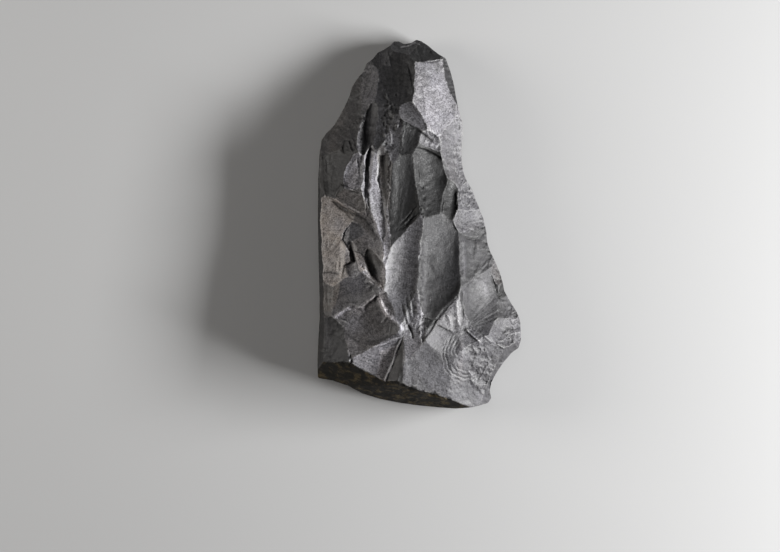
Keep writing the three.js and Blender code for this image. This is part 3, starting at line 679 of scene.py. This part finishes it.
def insideOf(corners, x, y):
    # how far each place lies inside a ring of corners, in millimetres, under 0 outside it
    ring = np.array([*corners, corners[0]], float)
    away = np.abs(alongPath(ring, x, y)[0])
    inside = np.zeros(x.shape, bool)
    for (ax, ay), (bx, by) in zip(ring[:-1], ring[1:]):
        if ay != by:
            crosses = ((ay > y) != (by > y)) & (x < (bx - ax) * (y - ay) / (by - ay) + ax)
            inside ^= crosses
    return np.where(inside, away, -away)


def facetShares(x, y):
    # for each facet, the places near it, how much of it each has, its height there, and its tint and warmth
    soft = stoneValues["facetSoftness"]
    for number, (corners, rise, east, north, dustDirtAndPaintedLight, warmth) in enumerate(facets):
        points = np.array(corners)
        near = nearTo(points, 1, x, y)
        if not near.any():
            continue
        px, py = x[near], y[near]
        middle = points.mean(0)
        seedPair = seeds["facet"], seeds["facet"] + 1
        wx, wy = strayed(px, py, stoneValues["facetWander"], 1.6, seedPair, number * 2.3)
        height = rise + east * (px - middle[0]) + north * (py - middle[1])
        yield near, smoothStep(-soft, soft, insideOf(corners, wx, wy)), height, dustDirtAndPaintedLight, warmth


def ovalAway(x, y, cx, cy, across, along, turn):
    # distance from the middle of a turned oval, 1 at its rim
    a = math.radians(turn)
    dx, dy = x - cx, y - cy
    u = dx * math.cos(a) + dy * math.sin(a)
    v = dy * math.cos(a) - dx * math.sin(a)
    return np.hypot(u / across, v / along)


def patchShares(x, y):
    # the same for each patch, which reaches every place
    wx, wy = strayed(x, y, stoneValues["patchWander"], 3.0, (seeds["patch"], seeds["patch"] + 1))
    for *oval, height, dustDirtAndPaintedLight, warmth in patches:
        yield slice(None), np.exp(-np.minimum(ovalAway(wx, wy, *oval) ** 2, 30)), height, dustDirtAndPaintedLight, warmth


def sharedRelief(x, y):
    total = np.zeros(x.shape)
    for near, share, height, *_ in itertools.chain(facetShares(x, y), patchShares(x, y)):
        total[near] += share * height
    return total


def arcRelief(x, y):
    # the nested arcs of the rippled scar near the base
    zero = np.zeros(x.shape)
    dx, dy = x - arcValues["x"], (y - arcValues["y"]) / arcValues["stretch"]
    away = np.hypot(dx, dy) + arcValues["bend"] * fractal(x, y, zero, 4.0, 3, seeds["arc"])
    turn = np.degrees(np.arctan2(dy, dx)) % 360
    band = smoothStep(*arcValues["innerRim"], away) * smoothStep(*arcValues["outerRim"], away)
    sweep = smoothStep(*arcValues["sweepFrom"], turn) * smoothStep(*arcValues["sweepTo"], turn)
    teeth = np.abs((away / arcValues["spacing"]) % 1 - 0.5) * 2
    broken = smoothStep(-0.35, 0.25, fractal(x, y, zero, 2.4, 2, seeds["arc"] + 1))
    return -arcValues["depth"] * band * sweep * (1 - teeth) ** 1.5 * broken


def crumbled(x, y, size, seed):
    # crumbled stone: each place keeps the lowest of the little shells around it
    column, row = np.floor(x / size).astype(np.int64), np.floor(y / size).astype(np.int64)
    lowest = np.full(x.shape, 9.0)
    for stepX, stepY in itertools.product((-1, 0, 1), repeat=2):
        cell = ((column + stepX) * 73856093) ^ ((row + stepY) * 19349663) ^ (seed * 83492791)
        draws = []
        for salt in (1, 2, 3, 4, 5):
            hashed = (cell ^ (salt * 668265263)) * 1274126177
            hashed = hashed ^ (hashed >> 15)
            draws.append((hashed & 65535) / 65535)
        dx = x / size - (column + stepX + draws[0])
        dy = y / size - (row + stepY + draws[1])
        slope = 1.6 * (draws[3] - 0.5) * dx + 1.6 * (draws[4] - 0.5) * dy
        shell = draws[2] + slope + 1.1 * (dx**2 + dy**2)
        lowest = np.minimum(lowest, shell)
    return lowest - 0.4


def crushRelief(x, y):
    total = np.zeros(x.shape)
    for number, (*oval, height, size) in enumerate(crushed):
        inside = smoothStep(1.15, 0.55, ovalAway(x, y, *oval))
        near = inside > 0
        seedPair = seeds["crushEast"] + number, seeds["crushNorth"] + number
        wx, wy = strayed(x[near], y[near], 0.35 * size, size, seedPair, number * 5.1)
        coarse = crumbled(wx, wy, size * 1.5, seeds["coarseCrumbs"] + number)
        fine = crumbled(wx, wy, size * 0.6, seeds["fineCrumbs"] + number)
        total[near] += height * inside[near] * (coarse + 0.4 * fine)
    return total


def fineHeights(scars, x, y, side):
    lowest, gap, _ = lowestScars(scars, x, y)
    if side > 0:
        lowest = lowest + strokeRelief(x, y) + sharedRelief(x, y) + arcRelief(x, y) + crushRelief(x, y)
    onRidge = np.exp(-(gap / stoneValues["ridgeWidth"]) ** 2)
    crumbs = np.abs(fractal(x, y, np.full(x.shape, 3.0), 1.1, 3, seeds["ridge"]))
    lowest = lowest - onRidge * stoneValues["ridgeCrush"] * crumbs
    return lowest * side * bodyValues["heightScale"]


def applied(piece):
    depsgraph = bpy.context.evaluated_depsgraph_get()
    mesh = bpy.data.meshes.new_from_object(piece.evaluated_get(depsgraph))
    old = piece.data
    piece.modifiers.clear()
    piece.data = mesh
    bpy.data.meshes.remove(old)


def vectors(items, field):
    flat = np.empty(len(items) * 3, np.float32)
    items.foreach_get(field, flat)
    return flat.reshape(-1, 3).astype(float)


def setCoordinates(mesh, points):
    mesh.vertices.foreach_set("co", (points / mm).astype(np.float32).ravel())
    mesh.update()


def placed(name, data):
    made = bpy.data.objects.new(name, data)
    scene.collection.objects.link(made)
    return made


def finelyCut(node, name):
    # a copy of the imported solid, cut into small even cells
    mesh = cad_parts[node].data.copy()
    mesh.materials.clear()
    piece = placed(name, mesh)
    bm = bmesh.new()
    bm.from_mesh(mesh)
    bmesh.ops.remove_doubles(bm, verts=bm.verts, dist=1e-6)
    bm.to_mesh(mesh)
    bm.free()
    cells = piece.modifiers.new("cells", "REMESH")
    cells.mode = "VOXEL"
    cells.voxel_size = stoneValues["voxel"]
    applied(piece)
    return piece


def chipAway(points, facing):
    # small shells struck off along the ridges and the edges, on the side of the stone that facing picks
    random = np.random.default_rng(stoneValues["chipSeed"])
    x, y, z = points[:, 0], points[:, 1], points[:, 2].copy()
    steepest = stoneValues["chipSteepest"]
    for line, count, stray, small, large, depth in chipRuns:
        path = smoothPath(line)
        for _ in range(count):
            place = path[random.integers(len(path) - 1)] + random.normal(0, stray, 2)
            radius = random.uniform(small, large)
            lean = random.normal(0, stoneValues["chipLean"], 2)
            sink = depth * random.uniform(*stoneValues["chipSink"])
            rim = 1.7 * sink + 0.6 * radius * math.hypot(*lean)
            near = facing & (np.abs(x - place[0]) < 2 * radius) & (np.abs(y - place[1]) < 2 * radius)
            dx, dy, h = x[near] - place[0], y[near] - place[1], z[near]
            away = np.hypot(dx, dy) / radius
            core = away < stoneValues["chipCore"]
            if core.sum() < stoneValues["fewestPoints"]:
                continue
            # the shell leans a little off the plane through the stone that it is struck from
            base = np.column_stack([np.ones(core.sum()), dx[core], dy[core]])
            (level, east, north), *_ = np.linalg.lstsq(base, h[core], rcond=None)
            east, north = np.clip([east, north], -steepest, steepest)
            shell = level - sink + (east + lean[0]) * dx + (north + lean[1]) * dy + rim * away**2
            z[near] = np.where(away < stoneValues["chipReach"], np.minimum(h, shell), h)
    return z


def worked(piece):
    mesh = piece.data
    points = vectors(mesh.vertices, "co") * mm
    facing = vectors(mesh.vertex_normals, "vector")
    x, y, z = points.T
    for side, scars in ((1, topScars), (-1, underScars)):
        bare = lowestScars(scars, x, y, relief=False)[0] * side * bodyValues["heightScale"]
        if side < 0:
            bare = np.maximum(bare, 0)
        onFace = smoothStep(*stoneValues["faceNear"], np.abs(z - bare))
        onFace *= smoothStep(*stoneValues["faceTurn"], facing[:, 2] * side)
        mine = onFace > 0
        fine = fineHeights(scars, x[mine], y[mine], side)
        if side < 0:
            # nothing goes below the flat that the stone rests on
            share = np.where(bare[mine] < 0.02, stoneValues["restingRelief"], 1)
            fine = np.maximum(fine * share, 0)
        z[mine] += (fine - z[mine]) * onFace[mine]
    report("scars worked")
    points[:, 2] = z
    points[:, 2] = chipAway(points, facing[:, 2] > 0.05)
    report("ridges chipped")
    # fine breakage over the whole skin, along its normals, fading out at the floor
    setCoordinates(mesh, points)
    facing = vectors(mesh.vertex_normals, "vector")
    x, y, z = points.T
    skin = fractal(x, y, z, stoneValues["grainSize"], 3, seeds["skin"]) * stoneValues["grain"]
    points += facing * (skin * smoothStep(0.05, 0.4, z))[:, None]
    low, high = [np.array(corner) * mm for corner in cadBox]
    setCoordinates(mesh, np.clip(points, low, high))
    report("skin roughened")


def thinned(piece):
    # flat places give up their small cells, and the ridges keep them
    mesh = piece.data
    bm = bmesh.new()
    bm.from_mesh(mesh)
    bmesh.ops.triangulate(bm, faces=bm.faces)
    bm.to_mesh(mesh)
    bm.free()
    count = len(mesh.polygons)
    if count > stoneValues["triangles"]:
        thin = piece.modifiers.new("thin", "DECIMATE")
        thin.ratio = stoneValues["triangles"] / count
        applied(piece)
    report(f"cut down from {count} to {len(piece.data.polygons)} triangles")


def standingProud(mesh, points, facing):
    # how far each point stands above the mean of those around it, in millimetres
    pairs = np.empty(len(mesh.edges) * 2, np.int32)
    mesh.edges.foreach_get("vertices", pairs)
    a, b = pairs.reshape(-1, 2).T
    around = np.maximum(np.bincount(pairs, minlength=len(points)), 1)
    level = points.copy()
    for _ in range(3):
        sums = [np.bincount(a, of[b], len(of)) + np.bincount(b, of[a], len(of)) for of in level.T]
        level = 0.5 * level + 0.5 * np.column_stack(sums) / around[:, None]
    return ((points - level) * facing).sum(1)


def paintedLightAndDirt(x, y):
    # painted shade, with some dirt, that darkens the foot of a step, and painted highlight, with some crushed
    # dust, that lightens a lip; then the painted light and shade of the facets and patches, and their warmth
    tone, warmth = np.ones(x.shape), np.zeros(x.shape)
    for _, kind, _, width, dustDirtAndPaintedLight, near, across, ends in strokesNear(x, y, 3):
        centre = 0.7 * width if kind == "lip" else 0
        t = (across - centre) / (0.8 * width)
        tone[near] *= 1 + dustDirtAndPaintedLight * ends * np.exp(-np.minimum(t**2, 30))
    for near, share, _, dustDirtAndPaintedLight, warm in itertools.chain(facetShares(x, y), patchShares(x, y)):
        tone[near] *= 1 + dustDirtAndPaintedLight * share
        warmth[near] += warm * share
    return tone, warmth


def dressed(piece):
    # what the material reads: the tone of each scar, partly painted light and shade, how near a ridge is,
    # the warm patina, and the cortex
    mesh = piece.data
    points = vectors(mesh.vertices, "co") * mm
    facing = vectors(mesh.vertex_normals, "vector")
    x, y, z = points.T
    faces = []
    for side, scars in ((1, topScars), (-1, underScars)):
        height, _, shown = lowestScars(scars, x, y)
        finishAndPaintedLight = np.array([(scar.tone, scar.warm, scar.cortex) for scar in scars])
        faces.append((height * side, finishAndPaintedLight[shown]))
    # the two faces' finishes, with their painted light and shade, meet along the middle of the wall between
    # them
    (top, topFinishAndPaintedLight), (under, underFinishAndPaintedLight) = faces
    rise = z - (top + under) / 2 + 1.5 * fractal(x, y, z, 5.0, 3, seeds["wall"])
    share = np.maximum(smoothStep(-1.5, 1.5, rise), smoothStep(0.45, 0.6, facing[:, 2]))
    share = np.minimum(share, smoothStep(0.6, 0.45, -facing[:, 2]))[:, None]
    look = np.zeros((len(points), 4), np.float32)
    look[:, [0, 2, 3]] = underFinishAndPaintedLight + (topFinishAndPaintedLight - underFinishAndPaintedLight) * share
    above = facing[:, 2] > 0
    # painted light and shade from the strokes, facets and patches, with some dust and dirt, scale the scar's
    # tone
    tone, warmth = paintedLightAndDirt(x[above], y[above])
    look[above, 0] = np.minimum(look[above, 0] * tone, stoneValues["palest"])
    look[above, 2] = np.clip(look[above, 2] + warmth, 0, 1)
    look[:, 1] = np.clip(0.5 + standingProud(mesh, points, facing) / stoneValues["ridgeRange"], 0, 1)
    attribute = mesh.attributes.new("look", "FLOAT_COLOR", "POINT")
    attribute.data.foreach_set("color", look.ravel())
    mesh.shade_smooth()


slateValues = {
    "dark": (0.060, 0.059, 0.064, 1),
    "light": (0.092, 0.090, 0.100, 1),
    "mottle": 140.0,  # cells to the metre, as for the other patterns
    "warmStain": (0.158, 0.130, 0.102, 1),
    "stain": 90.0,
    "stainShare": 0.6,
    # the pale ridge colour: worn stone, and a painted highlight along the crests
    "wornAndHighlitRidge": (0.34, 0.335, 0.32, 1),
    "wearAndHighlight": 700.0,
    "wearAndHighlightShare": (0.10, 0.40),  # on the darkest scars and on the palest
    "cortexDark": (0.0065, 0.005, 0.0026, 1),
    "cortexLight": (0.130, 0.095, 0.044, 1),
    "cortex": 380.0,
    "speckle": 2400.0,
    "speckleTone": (0.42, 1.62),
    "hollowShade": 0.45,  # painted shade in creases: how dark a hollow line is made
    "roughness": 0.44,
    "roughnessSpread": (-0.05, 0.06),
    "cortexRoughness": 0.55,  # added, as are the next two
    "speckleRoughness": 0.10,
    "darkRoughness": 0.15,
    "specular": 0.38,
    "grain": 2600.0,
    "grainDepth": 0.00013,  # metres
    "pits": 900.0,
    "pitDepth": 0.00025,
    "bump": 0.5,
}


def slateMaterial():
    values = slateValues
    made = bpy.data.materials.new("slate")
    made.use_nodes = True
    tree = made.node_tree
    tree.nodes.clear()
    link = tree.links.new

    def node(kind, **settings):
        made = tree.nodes.new(kind)
        for key, value in settings.items():
            if hasattr(made, key):
                setattr(made, key, value)
            else:
                made.inputs[key].default_value = value
        return made

    def fed(socket, value):
        # a socket takes a plain value, or the output of another node
        if isinstance(value, (int, float, tuple)):
            socket.default_value = value
        else:
            link(value, socket)

    place = node("ShaderNodeTexCoord")
    look = node("ShaderNodeAttribute", attribute_name="look")
    parts = node("ShaderNodeSeparateColor")
    link(look.outputs["Color"], parts.inputs["Color"])
    tone, ridge, warm = parts.outputs["Red"], parts.outputs["Green"], parts.outputs["Blue"]
    cortex = look.outputs["Alpha"]

    def noiseAt(scale, detail, rough=0.6):
        made = node("ShaderNodeTexNoise", Scale=scale, Detail=detail, Roughness=rough)
        link(place.outputs["Object"], made.inputs["Vector"])
        return made.outputs["Fac"]

    def ranged(value, low, high, outLow=0.0, outHigh=1.0):
        limits = {"From Min": low, "From Max": high, "To Min": outLow, "To Max": outHigh}
        made = node("ShaderNodeMapRange", **limits)
        link(value, made.inputs["Value"])
        return made.outputs["Result"]

    def mathOf(kind, a, b):
        made = node("ShaderNodeMath", operation=kind)
        fed(made.inputs[0], a)
        fed(made.inputs[1], b)
        return made.outputs["Value"]

    def mixed(factor, a, b):
        made = node("ShaderNodeMix", data_type="RGBA", blend_type="MIX")
        for number, value in ((0, factor), (6, a), (7, b)):  # the sockets of a mix of colours
            fed(made.inputs[number], value)
        return made.outputs[2]

    def bumped(scale, depth):
        made = node("ShaderNodeBump", Strength=values["bump"], Distance=depth)
        link(noiseAt(scale, 3.0), made.inputs["Height"])
        return made

    speckle = noiseAt(values["speckle"], 2.0)
    mottle = noiseAt(values["mottle"], 5.0)
    slate = mixed(ranged(mottle, 0.36, 0.66), values["dark"], values["light"])
    stain = mathOf("MULTIPLY", warm, ranged(noiseAt(values["stain"], 4.0, 0.55), 0.35, 0.65, 0.35, 1.0))
    slate = mixed(mathOf("MULTIPLY", stain, values["stainShare"]), slate, values["warmStain"])
    # the scar's tone, partly painted light and shade, its grain, and painted shade in hollow lines
    toneWithPaintedShade = mathOf("MULTIPLY", tone, ranged(speckle, 0.32, 0.68, *values["speckleTone"]))
    toneWithPaintedShade = mathOf("MULTIPLY", toneWithPaintedShade, ranged(ridge, 0.15, 0.5, values["hollowShade"], 1.0))
    scaled = node("ShaderNodeVectorMath", operation="SCALE")
    link(slate, scaled.inputs[0])
    link(toneWithPaintedShade, scaled.inputs["Scale"])
    # ridges made pale: worn stone, and a painted highlight along their crests
    wornAndHighlit = ranged(noiseAt(values["wearAndHighlight"], 3.0, 0.55), 0.35, 0.6)
    wornAndHighlit = mathOf("MULTIPLY", ranged(ridge, 0.6, 1.0), wornAndHighlit)
    wornAndHighlit = mathOf("MULTIPLY", wornAndHighlit, ranged(tone, 0.2, 1.1, *values["wearAndHighlightShare"]))
    slate = mixed(wornAndHighlit, scaled.outputs[0], values["wornAndHighlitRidge"])
    crust = ranged(noiseAt(values["cortex"], 6.0, 0.7), 0.50, 0.72)
    crust = mixed(crust, values["cortexDark"], values["cortexLight"])

    rough = ranged(mottle, 0.3, 0.7, *(values["roughness"] + part for part in values["roughnessSpread"]))
    for more in (
        mathOf("MULTIPLY", cortex, values["cortexRoughness"]),
        ranged(speckle, 0.35, 0.65, -values["speckleRoughness"], values["speckleRoughness"]),
        ranged(tone, 0.25, 1.3, values["darkRoughness"], 0.0),
    ):
        rough = mathOf("ADD", rough, more)

    shader = node("ShaderNodeBsdfPrincipled")
    link(mixed(cortex, slate, crust), shader.inputs["Base Color"])
    link(rough, shader.inputs["Roughness"])
    shader.inputs["Specular IOR Level"].default_value = values["specular"]
    grain = bumped(values["grain"], values["grainDepth"])
    pits = bumped(values["pits"], values["pitDepth"])
    link(grain.outputs["Normal"], pits.inputs["Normal"])
    link(pits.outputs["Normal"], shader.inputs["Normal"])
    out = node("ShaderNodeOutputMaterial")
    link(shader.outputs["BSDF"], out.inputs["Surface"])
    return made


topScars = [scarOf(faceHeight, 1, *row) for row in faceFlakes]
topScars += [scarOf(None, 1, *row) for row in sideFlakes]
underScars = [scarOf(underHeight, -1, *row) for row in underFlakes]

stone = finelyCut("knapped_stone", "stone")
report(f"cut into {len(stone.data.vertices)} cells")
worked(stone)
thinned(stone)
dressed(stone)
stone.data.materials.append(slateMaterial())
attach(stone, "root")
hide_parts("knapped_stone")
report("stone dressed")

studioValues = {
    "floorColour": (0.42, 0.42, 0.42, 1),
    "floorRoughness": 0.9,
    "floorReach": 1.5,  # metres from its middle to a side
    "world": (0.022, 0.022, 0.023, 1),
    "lights": {
        "key": dict(watts=10.6, place=(0.55, -0.05, 0.23), size=(0.36, 0.12), colour=(1, 1, 1)),
        "fill": dict(watts=2.6, place=(-0.6, 0.08, 0.2), size=(0.3, 0.2), colour=(1, 0.97, 0.93)),
        "top": dict(watts=0.4, place=(-0.1, 0.35, 0.75), size=(0.5, 0.5), colour=(1, 1, 1)),
    },
    "lens": 120,  # millimetres, on a sensor 36 wide
    "sensor": 36,
    "viewWidth": 0.234,  # 780 pixels of 0.3 mm, measured where the rim of the stone lies
    "rimHeight": 0.008,
    "viewCentre": (-0.00885, -0.01575),
}


def studioFloor():
    bm = bmesh.new()
    bmesh.ops.create_grid(bm, x_segments=1, y_segments=1, size=studioValues["floorReach"])
    mesh = bpy.data.meshes.new("floor")
    bm.to_mesh(mesh)
    bm.free()
    paper = bpy.data.materials.new("paper")
    paper.use_nodes = True
    shader = paper.node_tree.nodes["Principled BSDF"]
    shader.inputs["Base Color"].default_value = studioValues["floorColour"]
    shader.inputs["Roughness"].default_value = studioValues["floorRoughness"]
    mesh.materials.append(paper)
    placed("floor", mesh)


def softLight(name, watts, place, size, colour):
    light = bpy.data.lights.new(name, "AREA")
    light.shape = "RECTANGLE"
    light.energy, light.color = watts, colour
    light.size, light.size_y = size
    lamp = placed(name, light)
    lamp.location = place
    lamp.rotation_euler = (-Vector(place)).to_track_quat("-Z", "Y").to_euler()


def photoCamera():
    # straight above the stone, as the photograph looks at it
    lens = bpy.data.cameras.new("camera")
    lens.sensor_width, lens.lens = studioValues["sensor"], studioValues["lens"]
    camera = placed("camera", lens)
    distance = studioValues["viewWidth"] * lens.lens / lens.sensor_width
    camera.location = (*studioValues["viewCentre"], studioValues["rimHeight"] + distance)
    scene.camera = camera


studioFloor()
for name, light in studioValues["lights"].items():
    softLight(name, **light)
world = bpy.data.worlds.new("studio")
world.use_nodes = True
world.node_tree.nodes["Background"].inputs["Color"].default_value = studioValues["world"]
scene.world = world
scene.view_settings.view_transform = "Standard"
photoCamera()
report("studio lit")
